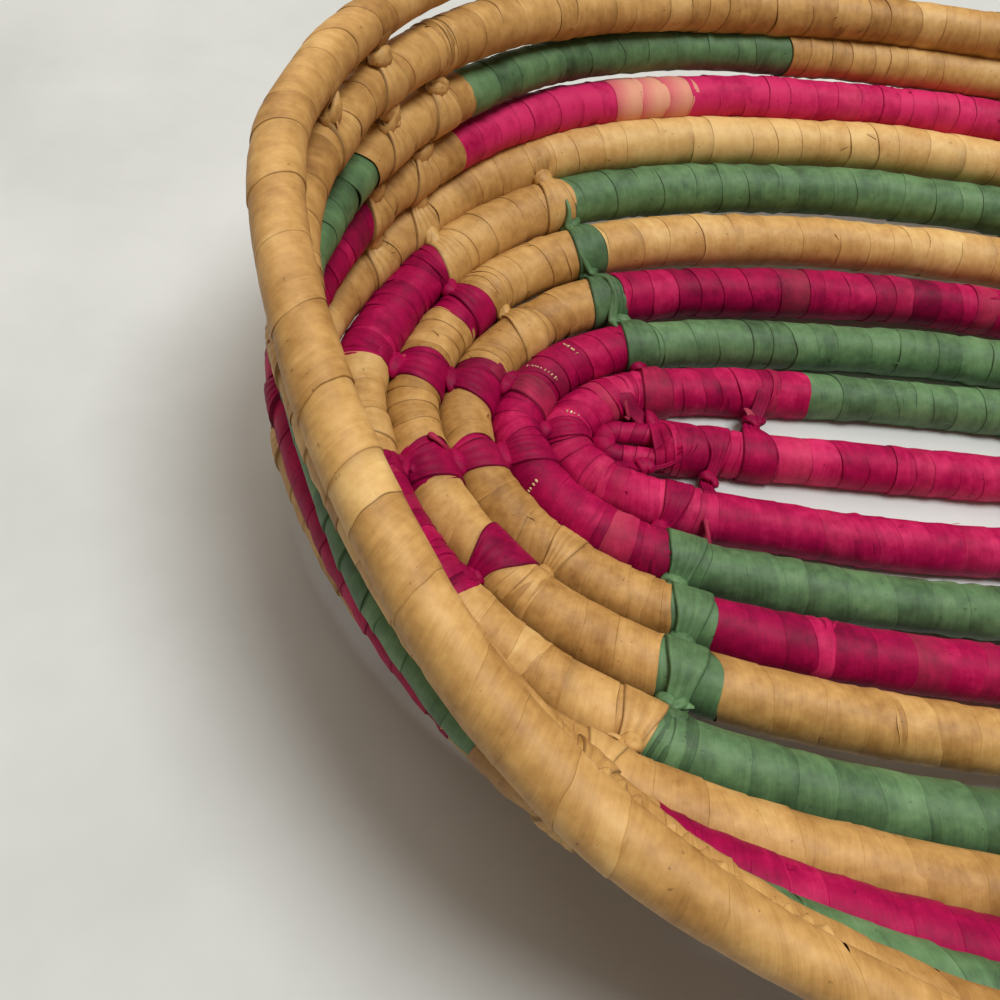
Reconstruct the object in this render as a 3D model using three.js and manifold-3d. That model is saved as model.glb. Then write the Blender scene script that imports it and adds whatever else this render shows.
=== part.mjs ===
// Oval coiled basket: one long plant-fibre core wound in eleven rows, wrapped in strips of leaf.
// Each wrap is a sleeve round the core, and its tie is a band round the row inside it.
// Millimetres, +Z up, origin under the middle of the base.
// X runs along the long axis and the coil winds clockwise, seen from above.
import * as THREE from 'three';
import { mergeVertices } from 'three/addons/utils/BufferGeometryUtils.js';
import Module from 'manifold-3d';

const wasm = await Module();
wasm.setup();

// Plan of the coil: row 1 is a straight rod and each later row is an oval outside the last one.
const rodHalfLength = 67.5;
const endSharpness = 2.44;
const firstEndStep = 24.9;
const firstSideStep = 21.5;
const baseEndPitch = 11.9;
const baseSidePitch = 16.25;
const firstBendPower = 2.2;
const baseOvalPower = 1.64;
const rimOvalPower = 1.57;
const baseRows = 6;
const wallRows = 5;

// Profile: the base is a shallow dish, and then each wall row climbs at its own slope in degrees.
const dishRise = 1.7;
const dishPower = 1.5;
const endPitches = [13.6, 13.6, 13.6, 13.6, 11.7];
const endSlopes = [25, 94, 100, 87.5, 85];
const sidePitches = [13.6, 12.2, 11.5, 11.7, 11.7];
const sideSlopes = [27, 30, 43.5, 51.5, 52];
const endRisePower = 1.6;

// Coil: diameters over the wrap, and the strip that makes the wrap.
const rodDiameter = 9.7;
const coilDiameter = 11.1;
const rimDiameter = 9.2;
const thinningPower = 0.7;
const wrapThickness = 1.1;
const clearance = 0.4;
const endGap = 0.35;
const coilSides = 6;
const stepsPerTurn = 24;
const stepEvenness = 0.12;
const restCutShare = 0.1;

// Ties: at four places in each turn a strip also passes round the row inside.
const tiePlaces = [0.1, 0.38, 0.62, 0.9];
const tieTurn = 0.013;
const tieNeckHeight = 3.6;
const tieNeckShare = 0.7;
const placeNames = ['left', 'back', 'right', 'front'];

// Ends of the coil: a small eye at the start and a taper on the rim.
const startTurn = 0.25;
const eyeDiameter = 5.2;
const eyeHole = 3.4;
const eyeLegLength = 7;
const eyeBendSteps = 8;
const rimTaperStart = 10.52;
const rimWrapEnd = 10.62;
const rimTipTurn = 10.72;
const rimTipDiameter = 2.6;

const rowCount = baseRows + wallRows;
const turn = 2 * Math.PI;
const smooth = (x) => x * x * (3 - 2 * x);
const mix = (a, b, share) => a + (b - a) * share;

// Places of the whole rows, summed outwards from the rod.
function rowPlaces() {
  const places = [{ end: 0, side: 0, endHeight: 0, sideHeight: 0, power: firstBendPower }];
  places.push({ ...places[0], end: firstEndStep, side: firstSideStep, power: baseOvalPower });
  for (let row = 3; row <= baseRows; row += 1) {
    const last = places[row - 2];
    const height = dishRise * (row - 2) ** dishPower;
    const [end, side] = [last.end + baseEndPitch, last.side + baseSidePitch];
    places.push({ ...last, end, side, endHeight: height, sideHeight: height });
  }
  for (let wall = 0; wall < wallRows; wall += 1) {
    const last = places[baseRows + wall - 1];
    const [endPitch, sidePitch] = [endPitches[wall], sidePitches[wall]];
    const endSlope = THREE.MathUtils.degToRad(endSlopes[wall]);
    const sideSlope = THREE.MathUtils.degToRad(sideSlopes[wall]);
    places.push({
      end: last.end + endPitch * Math.cos(endSlope),
      side: last.side + sidePitch * Math.cos(sideSlope),
      endHeight: last.endHeight + endPitch * Math.sin(endSlope),
      sideHeight: last.sideHeight + sidePitch * Math.sin(sideSlope),
      power: mix(baseOvalPower, rimOvalPower, (wall + 1) / wallRows),
    });
  }
  return places;
}
const places = rowPlaces();

// The row number after a number of turns: it steps up by one round each right-hand end.
function rowAt(turns) {
  const whole = Math.floor(turns);
  const part = turns - whole;
  const row = whole + 1 + (part > 0.5 ? smooth((part - 0.5) / 0.5) : 0);
  return Math.min(row, rowCount);
}

function outerRadius(turns) {
  const row = rowAt(turns);
  const base = mix(rodDiameter, coilDiameter, Math.min((row - 1) / 2, 1));
  const full = mix(base, rimDiameter, Math.max((row - baseRows) / wallRows, 0) ** thinningPower) / 2;
  const taper = THREE.MathUtils.clamp((turns - rimTaperStart) / (rimTipTurn - rimTaperStart), 0, 1);
  return mix(full, rimTipDiameter / 2, taper);
}
const innerRadius = (turns) => outerRadius(turns) - wrapThickness;
const coreRadius = (turns) => innerRadius(turns) - clearance;

// The rod is cut flat by a tenth of its diameter, and that cut is the floor for the second row too.
const baseLevel = (rodDiameter / 2) * (1 - 2 * restCutShare);

function centre(turns) {
  const row = rowAt(turns);
  const low = Math.min(Math.floor(row), rowCount - 1);
  const share = row - low;
  const [a, b] = [places[low - 1], places[low]];
  const at = (key) => mix(a[key], b[key], share);
  const even = -turn * (turns + 0.25);
  const angle = even + stepEvenness * Math.sin(2 * even);
  const [c, s] = [Math.cos(angle), Math.sin(angle)];
  const power = 2 / at('power');
  const along = Math.sign(c) * Math.abs(c) ** power;
  const across = Math.sign(s) * Math.abs(s) ** power;
  const spread = Math.tanh(endSharpness * along) / Math.tanh(endSharpness);
  const rise = Math.abs(c) ** endRisePower;
  return new THREE.Vector3(
    at('end') * along + rodHalfLength * spread,
    at('side') * across,
    baseLevel + mix(at('sideHeight'), at('endHeight'), rise),
  );
}

function tangent(turns) {
  const step = 1e-3;
  return centre(turns + step).sub(centre(turns - step)).normalize();
}

// Sections lie on a fixed grid of steps; a place between two steps is found on the straight between them.
function gridSection(index, radiusAt) {
  const turns = index / stepsPerTurn;
  const middle = centre(turns);
  const ahead = tangent(turns);
  const outward = new THREE.Vector3(-ahead.y, ahead.x, 0).normalize();
  const upward = new THREE.Vector3().crossVectors(ahead, outward).normalize();
  const radius = radiusAt(turns);
  return Array.from({ length: coilSides }, (_, side) => {
    const angle = (turn * side) / coilSides;
    return middle.clone()
      .addScaledVector(outward, radius * Math.cos(angle))
      .addScaledVector(upward, radius * Math.sin(angle));
  });
}

function section(turns, radiusAt) {
  const place = turns * stepsPerTurn;
  const low = Math.floor(place + 1e-6);
  const share = place - low;
  const a = gridSection(low, radiusAt);
  if (share < 1e-6) return a;
  const b = gridSection(low + 1, radiusAt);
  return a.map((point, side) => point.lerp(b[side], share));
}

function middleOf(turns) {
  const points = section(turns, () => 1);
  const sum = points.reduce((total, point) => total.add(point), new THREE.Vector3());
  return sum.divideScalar(points.length);
}

// The turns reached by going a number of millimetres along the coil.
function movedAlong(turns, distance) {
  const step = 1e-3;
  const speed = middleOf(turns + step).distanceTo(middleOf(turns)) / step;
  return turns + distance / speed;
}

function stations(from, to) {
  const list = [from];
  for (let index = Math.floor(from * stepsPerTurn) + 1; index / stepsPerTurn < to; index += 1) {
    const place = index / stepsPerTurn;
    if (place - from > 1e-4 && to - place > 1e-4) list.push(place);
  }
  list.push(to);
  return list;
}

function indexed(points, faces) {
  const geometry = new THREE.BufferGeometry();
  geometry.setAttribute('position', new THREE.Float32BufferAttribute(points.flatMap((p) => [p.x, p.y, p.z]), 3));
  geometry.setIndex(faces);
  return geometry;
}

// A closed tube with flat ends through rings of points.
function tube(rings) {
  const sides = rings[0].length;
  const faces = [];
  for (let ring = 0; ring < rings.length - 1; ring += 1) {
    for (let side = 0; side < sides; side += 1) {
      const [a, b] = [ring * sides + side, ring * sides + ((side + 1) % sides)];
      faces.push(a, b, b + sides, a, b + sides, a + sides);
    }
  }
  const far = (rings.length - 1) * sides;
  for (let side = 1; side < sides - 1; side += 1) {
    faces.push(0, side + 1, side, far, far + side, far + side + 1);
  }
  return indexed(rings.flat(), faces);
}

const cord = (from, to, radiusAt) => tube(stations(from, to).map((turns) => section(turns, radiusAt)));

// The short neck of a tie, from a band on the inner row to the wrap of the row outside it.
function neck(from, to) {
  const ends = [mix(from, to, (1 - tieNeckShare) / 2), mix(from, to, (1 + tieNeckShare) / 2)];
  const rings = ends.map((turns) => {
    const inside = middleOf(turns);
    const outside = middleOf(turns + 1);
    const across = outside.clone().sub(inside).normalize();
    const upward = new THREE.Vector3().crossVectors(tangent(turns), across).normalize();
    const near = inside.addScaledVector(across, innerRadius(turns));
    const far = outside.addScaledVector(across, -innerRadius(turns + 1));
    const half = tieNeckHeight / 2;
    return [[near, -half], [far, -half], [far, half], [near, half]]
      .map(([point, offset]) => point.clone().addScaledVector(upward, offset));
  });
  return tube(rings);
}

function solid(geometry) {
  const clean = geometry.clone();
  clean.deleteAttribute('normal');
  clean.deleteAttribute('uv');
  const merged = mergeVertices(clean, 1e-4);
  const mesh = new wasm.Mesh({
    numProp: 3,
    vertProperties: new Float32Array(merged.attributes.position.array),
    triVerts: new Uint32Array(merged.index.array),
  });
  const made = new wasm.Manifold(mesh);
  if (made.volume() > 0) return made;
  throw new Error('a closed piece faces inwards');
}

function geometryOf(manifold) {
  const mesh = manifold.getMesh();
  const geometry = new THREE.BufferGeometry();
  geometry.setAttribute('position', new THREE.BufferAttribute(mesh.vertProperties, 3));
  geometry.setIndex(new THREE.BufferAttribute(mesh.triVerts, 1));
  return geometry;
}

const coreStart = startTurn + 0.004;
const bore = solid(cord(startTurn, rimWrapEnd, innerRadius));

// Everything under the floor line is trimmed off the lowest cords.
const floorDepth = 20;
const floorSpan = 4 * (rodHalfLength + firstEndStep);
const underFloor = solid(new THREE.BoxGeometry(floorSpan, floorSpan, floorDepth).translate(0, 0, -floorDepth / 2));

const colours = { natural: 0xd2a465, magenta: 0xa5204f, green: 0x4c7a55, core: 0xcbb078 };
const materials = Object.fromEntries(Object.entries(colours).map(([name, color]) => [
  name, new THREE.MeshStandardMaterial({ name, color, roughness: name === 'core' ? 0.85 : 0.6, metalness: 0 }),
]));

// Strip colours by row, in the order left, back, right, front.
const rowColours = {
  1: ['magenta', 'magenta', 'magenta', 'magenta'],
  2: ['magenta', 'magenta', 'magenta', 'magenta'],
  3: ['magenta', 'green', 'magenta', 'green'],
  4: ['natural', 'magenta', 'natural', 'magenta'],
  5: ['natural', 'natural', 'natural', 'natural'],
  6: ['natural', 'green', 'natural', 'green'],
  7: ['natural', 'natural', 'natural', 'natural'],
  8: ['magenta', 'magenta', 'magenta', 'magenta'],
  9: ['green', 'green', 'green', 'green'],
  10: ['natural', 'natural', 'natural', 'natural'],
  11: ['natural', 'natural', 'natural', 'natural'],
};

const basket = new THREE.Group();
function add(name, geometry, colour) {
  const mesh = new THREE.Mesh(geometry, materials[colour]);
  mesh.name = name;
  basket.add(mesh);
}

// A tie band of the next row takes up part of each row at every tie place, before it and after it in turn.
const bandOn = (place, whole) => (whole % 2 === 0 ? [place + whole - tieTurn, place + whole] : [place + whole, place + whole + tieTurn]);
const firstTie = tiePlaces[2];
const lastTie = rowCount - 1 + tiePlaces[1];

function breaks() {
  const list = [];
  for (let whole = 0; whole < rowCount; whole += 1) {
    tiePlaces.forEach((place, index) => {
      const turns = whole + place;
      if (turns < firstTie - 1e-6 || turns > lastTie + 1e-6) return;
      const hasBand = turns + 1 < rimWrapEnd;
      const band = hasBand ? bandOn(place, whole) : [turns, turns];
      list.push({ place, whole, index, hasBand, band });
    });
  }
  return list;
}
const breakList = breaks();

function rowName(whole, index) {
  const row = String(whole + (placeNames[index] === 'front' ? 2 : 1)).padStart(2, '0');
  return `row_${row}_${placeNames[index]}_wrap`;
}

// One wrap per stretch between breaks, with the bands that it makes round the row inside it.
function wraps() {
  const made = [];
  for (let i = 0; i <= breakList.length; i += 1) {
    const before = breakList[i - 1];
    const after = breakList[i];
    const from = before ? movedAlong(before.band[1], endGap / (before.hasBand ? 1 : 2)) : coreStart;
    const to = after ? movedAlong(after.band[0], -endGap / (after.hasBand ? 1 : 2)) : rimWrapEnd;
    let body = solid(cord(from, to, outerRadius));
    for (const tie of breakList) {
      const [start, end] = tie.band;
      if (!tie.hasBand || start + 1 < from - 1e-6 || end + 1 > to + 1e-6) continue;
      body = body.add(solid(cord(start, end, outerRadius))).add(solid(neck(start, end)));
    }
    body = body.subtract(bore).subtract(underFloor);
    const name = before ? rowName(before.whole, before.index) : 'row_01_start_wrap';
    const row = Math.min(before ? before.whole + (before.index === 3 ? 2 : 1) : 1, rowCount);
    made.push([name, body, rowColours[row][before ? before.index : 0]]);
  }
  return made;
}
wraps().forEach(([name, body, colour]) => add(name, geometryOf(body), colour));

add('coil_core', cord(coreStart, rimWrapEnd, coreRadius), 'core');
add('rim_tapered_end', cord(movedAlong(rimWrapEnd, endGap), rimTipTurn, outerRadius), 'natural');

// The start of the coil is thinned and bent back on itself in a small eye.
function eye() {
  const start = middleOf(coreStart);
  const bend = (eyeHole + eyeDiameter) / 2;
  const reach = start.x - endGap - eyeLegLength;
  const curve = [new THREE.Vector3(start.x - endGap, bend, start.z)];
  for (let step = 0; step <= eyeBendSteps; step += 1) {
    const angle = Math.PI / 2 + (Math.PI * step) / eyeBendSteps;
    curve.push(new THREE.Vector3(reach + bend * Math.cos(angle), bend * Math.sin(angle), start.z));
  }
  curve.push(new THREE.Vector3(start.x - endGap, -bend, start.z));
  const rings = curve.map((point, index) => {
    const a = curve[Math.max(index - 1, 0)];
    const b = curve[Math.min(index + 1, curve.length - 1)];
    const ahead = b.clone().sub(a).normalize();
    const outward = new THREE.Vector3(-ahead.y, ahead.x, 0);
    return Array.from({ length: coilSides }, (_, side) => {
      const angle = (turn * side) / coilSides;
      return point.clone()
        .addScaledVector(outward, (eyeDiameter / 2) * Math.cos(angle))
        .add(new THREE.Vector3(0, 0, (eyeDiameter / 2) * Math.sin(angle)));
    });
  });
  return tube(rings);
}
add('start_eye', eye(), 'magenta');

// The least gap of the wound core to itself, from points along it that lie at least half a turn apart.
function leastGap() {
  const fine = 6;
  const list = [];
  for (let t = coreStart; t < rimWrapEnd; t += 1 / (fine * stepsPerTurn)) list.push([t, middleOf(t), coreRadius(t)]);
  let least = Infinity;
  list.forEach(([t, p, r], i) => {
    for (let j = i + 1; j < list.length; j += 1) {
      const [u, q, s] = list[j];
      if (u - t > 0.5) least = Math.min(least, p.distanceTo(q) - r - s);
    }
  });
  return least;
}
console.log(`least gap of the wound core to itself: ${leastGap().toFixed(2)} mm`);

export default basket;
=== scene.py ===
import math
from itertools import pairwise

import bpy
import numpy as np
from mathutils import Matrix, Vector


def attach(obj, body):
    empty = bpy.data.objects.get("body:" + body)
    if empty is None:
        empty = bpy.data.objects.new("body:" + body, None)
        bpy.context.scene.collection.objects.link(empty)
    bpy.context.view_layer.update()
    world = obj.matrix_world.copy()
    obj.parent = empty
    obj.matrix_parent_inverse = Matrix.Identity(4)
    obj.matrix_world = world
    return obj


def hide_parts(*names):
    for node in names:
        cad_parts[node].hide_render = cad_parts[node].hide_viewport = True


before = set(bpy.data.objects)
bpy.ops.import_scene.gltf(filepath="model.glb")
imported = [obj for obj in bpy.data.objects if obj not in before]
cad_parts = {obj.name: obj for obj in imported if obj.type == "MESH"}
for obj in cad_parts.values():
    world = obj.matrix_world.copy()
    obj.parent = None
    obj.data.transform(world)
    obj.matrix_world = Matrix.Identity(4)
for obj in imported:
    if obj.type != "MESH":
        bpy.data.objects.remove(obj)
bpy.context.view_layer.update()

MM = 0.001
TURN = 2 * math.pi
ABOVE_TABLE = 0.0001

# The coil's path, in millimetres: the same driving sizes as the solids.
ROD_HALF_LENGTH = 67.5
END_SHARPNESS = 2.44
FIRST_STEP = (24.9, 21.5)
BASE_PITCH = (11.9, 16.25)
FIRST_BEND_POWER = 2.2
BASE_OVAL_POWER = 1.64
RIM_OVAL_POWER = 1.57
BASE_ROWS = 6
WALL_ROWS = 5
ROW_COUNT = BASE_ROWS + WALL_ROWS
DISH_RISE = 1.7
DISH_POWER = 1.5
END_PITCHES = (13.6, 13.6, 13.6, 13.6, 11.7)
END_SLOPES = (25, 94, 100, 87.5, 85)
SIDE_PITCHES = (13.6, 12.2, 11.5, 11.7, 11.7)
SIDE_SLOPES = (27, 30, 43.5, 51.5, 52)
END_RISE_POWER = 1.6
STEP_EVENNESS = 0.12
ROD_DIAMETER = 9.7
REST_CUT_SHARE = 0.1
BASE_LEVEL = ROD_DIAMETER / 2 * (1 - 2 * REST_CUT_SHARE)

# Where the coil begins and ends, in turns from the front middle of row 1.
START_TURN = 0.25
CORE_START = START_TURN + 0.004
RIM_TAPER_START = 10.52
RIM_WRAP_END = 10.62
RIM_TIP_TURN = 10.72
RIM_TIP_DIAMETER = 2.6

# Thickness over the strips, in millimetres. Swells add to the radius, the back's by row.
ROD_SWELL = 1.3
WRAPPED_ROD = ROD_DIAMETER + ROD_SWELL
COIL_DIAMETER = 12.1
RIM_DIAMETER = 8.4
THINNING_POWER = 1.15
END_SWELL = 0.05
END_SWELL_REACH = 1.35
BACK_SWELL = {5: 0.25, 6: 0.35, 7: 0.3, 9: 0.2, 10: 0.9}
BACK_FROM, BACK_EASE = 0.3, 0.05
RIM_FRONT_THINNING = 0.7
FRONT_UP_TO, FRONT_EASE = 0.12, 0.04
THICKENING_ROWS = 2
WALL_FROM = BASE_ROWS + 0.5
RIM_FROM = ROW_COUNT - 0.6
RIM_TIES_FROM = ROW_COUNT - 1.4

# Unevenness of hand work, in millimetres: wobbles as (size, bends in a row), and lumps.
WOBBLES = ((0.16, 21.6), (0.096, 50.4))
LEVEL_WOBBLE_SHARE = 0.5
LUMPS = 0.07
LUMPS_IN_ROW = 60
PATH_STEP = 0.0005
PATH_SOFTENING = 20

# How far a row stands outward of its even place, in millimetres, at shares of a turn from the front middle.
LEAN_SHARES = (0, 0.05, 0.08, 0.12, 0.16, 0.19, 0.22, 0.26, 0.30, 0.345, 0.38, 0.42, 0.5)
LEAN = {
    5: (0,) * len(LEAN_SHARES),
    6: (0.8, 0.8, 0.8, 0.5, 0, 0, 0, -0.2, -0.4, -0.4, -0.2, 0, 0),
    7: (2.5, 2.5, 2.7, 2.0, 1.0, 0.4, -0.6, -1.5, -1.9, -1.4, -0.8, 0.1, 0.5),
    8: (3.1, 3.1, 3.5, 2.6, 1.5, 0.2, -0.4, -0.4, -1.3, -1.6, -1.3, -0.7, 0),
    9: (2.9, 2.9, 3.5, 2.9, 2.2, 1.1, 0.4, 0.2, -0.4, -1.8, -0.9, -0.5, 0),
    10: (2.7, 2.4, 1.5, 0.4, 0.2, 0.2, 0, -0.8, 0, -2.2, -4.0, -4.6, -3.8),
    11: (0, 0, 0.2, 1.2, -0.4, -0.3, 0, 0.2, 0.2, 0, 0, 0, 0),
}

# Leaf strips, in millimetres.
STRIP_PITCH = {"natural": 7.6, "magenta": 6.4, "green": 7.4}
RIM_STRIP_PITCH = 10.5
TIP_PITCH_SHARE = 0.62
PITCH_SHARES = (0.6, 1.4)
TIGHT_STEPS = (1.6, 3.2)
COLOUR_LIFT = {"natural": 0.12, "magenta": 0.0, "green": -0.2}
STRIP_THICKNESS = 0.15
STRIP_TUCK = 1.5
STRIP_TILT = 1.2
STRIP_WAVES = ((2, 0.24), (3, 0.14), (7, 0.06))
FRAY_SHARE = 0.3
# Share of strips with a painted shadow along part of the seam, where the edge lifts.
SEAM_SHADOW_SHARE = 0.4
UNDER_DEPTH = 0.5
CORE_DEPTH = 1.2
AROUND = 44
TIP_SHARES = (0.15, 0.33)
FADED_SHADE = 0.3

# Millimetres of leaf for a radian round the coil, and how many grains there are.
ARC_RADIUS = 5.5
GRAIN_MARKS = 90

# Least and largest length and width, or for dots width, length, height and step, in mm and radians.
FRAY_SIZES = ((0.8, 2.4), (0.6, 1.6))
TAIL_SIZES = ((2.5, 4.5), (1.4, 2.4))
DOT_SIZES = ((0.12, 0.4), (0.18, 0.6), (0.1, 0.3))
DOT_TURNS = (0.08, 0.22)

# Seeds of what is drawn at random; each tie and strand adds its own number.
SEEDS = {"path": 5, "rim_end": 31, "ties": 7000, "strands": 600, "torn_edges": 19, "dots": 88, "eye": 55}

# Ties: how they gather the strips, sizes of their necks and bands, their shades, and points in their grids.
DRAW_SHARE = 0.55
RIM_DRAW_SHARE = 0.2
DRAW_REACH = 6.5
BUNCH_REACH = 4.5
TIE_LIFT = 0.62
FAN_TURN = 1.15
NECK_REACH = 0.95
NECK_GAP = 1.5
HEM_DROP = 1.2
BAND_TALL = 1.5
BAND_WIDTHS = (2.6, 3.7)
WALL_BAND_SHARES = (1.2, 1.15)
TAIL_SHARE = 0.35
TIE_SHADES = {"natural": (0.45, 0.8), "magenta": (0.2, 0.5), "green": (0.2, 0.5)}
ACROSS_TIE, ROUND_TIE, ROUND_FAN, ROUND_NECK = 17, 54, 22, 36

# The frame's own wraps: each lies between two places in the turn where ties cross.
TIE_PLACES = {"left": 0.1, "back": 0.38, "right": 0.62, "front": 0.9}
FRONT_SEAM = TIE_PLACES["front"]

# Strip colours on each row's left half: (share of a turn from the front middle, colour from there on).
COLOURS = {
    1: [(0, "magenta")],
    2: [(0, "magenta"), (0.459, "green")],
    3: [(0, "green"), (0.088, "magenta"), (0.401, "green")],
    4: [(0, "magenta"), (0.067, "green"), (0.082, "natural"), (0.185, "magenta"), (0.212, "natural"),
        (0.262, "magenta"), (0.301, "natural"), (0.392, "green"), (0.408, "magenta")],
    5: [(0, "natural"), (0.065, "green"), (0.081, "natural"), (0.178, "magenta"), (0.205, "natural"),
        (0.256, "magenta"), (0.284, "natural"), (0.314, "magenta"), (0.336, "natural"), (0.394, "green"),
        (0.406, "natural")],
    6: [(0, "green"), (0.077, "natural"), (0.132, "magenta"), (0.194, "natural"), (0.255, "magenta"),
        (0.336, "natural"), (0.402, "green")],
    7: [(0, "natural")],
    8: [(0, "magenta"), (0.078, "natural"), (0.115, "magenta"), (0.311, "natural"), (0.355, "magenta")],
    9: [(0, "green"), (0.070, "natural"), (0.111, "green"), (0.300, "natural"), (0.355, "green"),
        (0.463, "natural")],
    10: [(0, "natural")],
    11: [(0, "natural")],
}

# Faded strips, by row, as stretches of the turn.
FADED = {8: ((0.4200, 0.4262), (0.4285, 0.4385))}

# Kinds of tie: colour, band width in mm, and the share of it kept at the neck.
GREEN_TIE = ("green", 9, 0.45)
BACK_GREEN_TIE = ("green", 9, 0.5)
BAND_TIE = ("magenta", 9, 0.6)
KITE_TIE = ("magenta", 13, 0.26)
WALL_TIE = ("natural", 8, 0.4)
WALL_KNOT = ("natural", 10, 0.46)

# Ties on the left half, by outer row: a share of a turn, and the kind.
TIES = {
    2: [(0.078, "magenta", 7, 0.4), (0.138, "magenta", 7, 0.5), (0.374, "magenta", 8, 0.5),
        (0.447, "magenta", 8, 0.45)],
    3: [(0.093, "magenta", 7, 0.45), (0.235, "magenta", 7, 0.6), (0.401, "magenta", 8, 0.4)],
    4: [(0.081, *GREEN_TIE), (0.200, "magenta", 8, 0.6), (0.299, "magenta", 8, 0.55),
        (0.405, *BACK_GREEN_TIE)],
    5: [(0.075, *GREEN_TIE), (0.123, "natural", 7, 0.4), (0.195, *BAND_TIE), (0.277, *BAND_TIE),
        (0.346, "natural", 9, 0.35), (0.400, *BACK_GREEN_TIE)],
    6: [(0.074, *GREEN_TIE), (0.139, *KITE_TIE), (0.190, "magenta", 10, 0.6), (0.268, *BAND_TIE),
        (0.330, "magenta", 8, 0.5), (0.401, *BACK_GREEN_TIE)],
    7: [(0.081, "natural", 9, 0.4), (0.210, *WALL_TIE), (0.340, "natural", 9, 0.45),
        (0.397, "natural", 9, 0.45)],
    8: [(0.085, *WALL_TIE), (0.200, *WALL_TIE), (0.313, *WALL_KNOT), (0.341, *WALL_KNOT)],
    9: [(0.090, *WALL_TIE), (0.205, "magenta", 8, 0.4), (0.311, *WALL_KNOT), (0.339, *WALL_KNOT)],
    10: [(0.095, *WALL_TIE), (0.210, *WALL_TIE), (0.318, *WALL_KNOT), (0.343, *WALL_KNOT)],
    11: [(0.100, *WALL_TIE), (0.190, *WALL_TIE), (0.283, *WALL_KNOT), (0.316, *WALL_KNOT)],
}

# Loose strands: colour, thickness in mm, and places as (row, share, angle round the coil, height).
STRANDS = [
    ("magenta", 1.3, [(5, 0.206, 1.85, 0.6), (5, 0.199, 2.1, 1.3), (4, 0.198, 0.7, 1.6),
                      (4, 0.192, 0.8, 0.3)]),
    ("natural", 0.7, [(4, 0.236, 2.4, 0.6), (3, 0.239, 0.3, 1.2), (3, 0.237, 0.6, 1.5),
                      (3, 0.236, 0.5, 0.6)]),
    ("green", 1.7, [(5, 0.396, 2.1, 0.3), (4, 0.399, 0.7, 0.9), (4, 0.402, 1.5, 0.7), (4, 0.402, 2.2, 0.7),
                    (3, 0.3975, 0.6, 0.9), (3, 0.3965, 1.2, -0.2)]),
    ("green", 1.5, [(6, 0.4005, 2.0, -0.1), (6, 0.400, 2.6, 0.8), (5, 0.399, 0.8, 0.9),
                    (5, 0.398, 1.5, 0.1)]),
    ("magenta", 1.5, [(2, 0.079, 0.9, 0.3), (2, 0.078, 0.5, 1.6), (2, 0.0775, 0.3, 3.0),
                      (2, 0.077, 0.2, 4.2)]),
    ("magenta", 1.2, [(2, 0.372, 2.3, 0.2), (2, 0.371, 2.9, 1.3), (2, 0.368, 2.9, 2.0)]),
    ("natural", 1.3, [(7, 0.081, 0.6, 0.4), (7, 0.080, 0.2, 1.0), (7, 0.078, 0.1, 1.6)]),
]

# Seams where pale core fibres show in dots: row, share, and the stretch of angle round the coil.
DOTTED_SEAMS = [(3, 0.324, 0.95, 2.3), (3, 0.359, 1.2, 1.9), (2, 0.288, 1.0, 1.9), (3, 0.1706, 0.6, 1.15)]

# Torn edges of leaf: row, share, angle round the coil, length and width in mm.
TORN_EDGES = [(11, 0.098, 2.5, 8, 2.2), (11, 0.086, 2.6, 10, 2.4), (11, 0.073, 2.6, 9, 2.0),
              (7, 0.083, 1.2, 6, 1.6)]

# Start eye, in millimetres: the thinned end of the core, wrapped and bent back on itself.
EYE_DIAMETER = 5.9
EYE_HOLE = 1.1
EYE_LEG = 12.35
EYE_TUCK = 0.5
EYE_STRIP_PITCH = 3.0
COLLAR_REACH = 4.8


def smooth(x):
    return x * x * (3 - 2 * x)


def ease(x):
    """Rises smoothly from 0 to 1 as x does, and stays there."""
    return smooth(np.clip(x, 0, 1))


def unit(vectors):
    return vectors / np.maximum(np.linalg.norm(vectors, axis=-1, keepdims=True), 1e-6)


def between(at, knots, table):
    """Points or directions of a table, interpolated along its knots."""
    return np.stack([np.interp(at, knots, table[:, i]) for i in range(3)], -1)


def smooth_between(at, knots, values):
    """Values eased from knot to knot."""
    step = np.interp(at, knots, np.arange(len(knots)))
    low = np.clip(np.floor(step).astype(int), 0, len(knots) - 2)
    share = smooth(step - low)
    return (values[low].T * (1 - share) + values[low + 1].T * share).T


def softened(line, reach):
    """A line of points, each averaged with its neighbours."""
    kernel = np.hanning(2 * reach + 1)
    kernel /= kernel.sum()
    padded = np.pad(line, ((reach, reach), (0, 0)), mode="edge")
    return np.stack([np.convolve(padded[:, i], kernel, "valid") for i in range(3)], -1)


def lengths_of(line):
    steps = np.linalg.norm(np.diff(line, axis=0), axis=1)
    return np.concatenate([[0], np.cumsum(steps)])


def level_outward(ahead):
    """Level directions left of the way ahead; the coil winds clockwise, so they point outward."""
    return unit(np.stack([-ahead[..., 1], ahead[..., 0], np.zeros(ahead.shape[:-1])], -1))


def direction(angle, outward, upward):
    """Directions at angles from outward, turning up."""
    return np.cos(angle)[..., None] * outward + np.sin(angle)[..., None] * upward


def round_angles(count):
    return np.linspace(0, TURN, count, endpoint=False)


def column(*values):
    """Values for the rows of a grid."""
    return np.array(values)[:, None]


def even_rows(first, last, count):
    return np.linspace(first, last, count)[:, None]


def one_side(angle, random):
    """From 1 on one side of the coil, chosen at random, to -1 on the other."""
    return np.cos(angle - random.uniform(0, TURN))


def own_grain(random):
    """A number that gives a piece of leaf a grain of its own."""
    return random.uniform(0, GRAIN_MARKS)


def sizes_between(limits, random):
    return [random.uniform(*pair) for pair in limits]


def draws(name, number=0):
    return np.random.default_rng(SEEDS[name] + number)


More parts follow.
